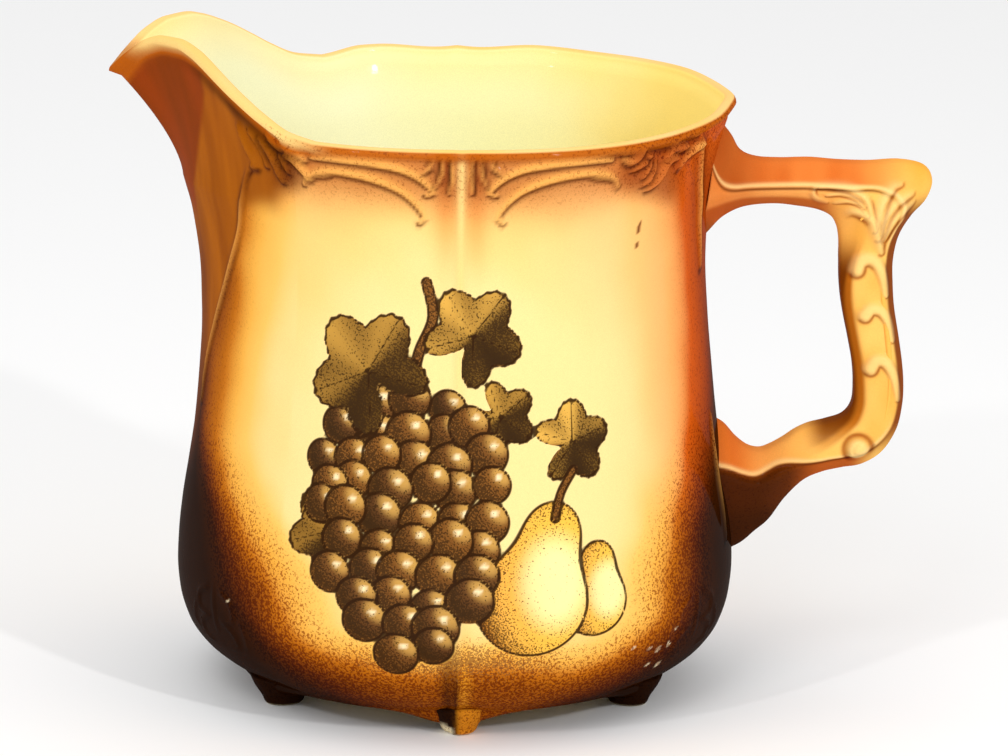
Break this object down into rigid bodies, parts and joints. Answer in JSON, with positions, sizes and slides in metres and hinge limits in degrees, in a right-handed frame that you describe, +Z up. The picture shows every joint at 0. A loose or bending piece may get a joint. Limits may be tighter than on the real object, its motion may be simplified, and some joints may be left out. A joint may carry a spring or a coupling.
{
  "type": "pitcher",
  "caption": "Glazed ceramic pitcher with a beaked pouring lip, a swelling ribbed body, scroll relief under the rim, a square handle and small pad feet.",
  "frame": {"origin": "centre of the bounding box seen from above, at the level of the feet's undersides", "axes": "+Z up; +X towards the handle, so the pouring lip points to -X; the pictured face looks along -Y"},
  "size_m": [0.2388, 0.163, 0.1936],
  "materials": {
    "glaze": "gloss"
  },
  "bodies": {
    "root": {"pitcher": "glaze"}
  },
  "joints": []
}
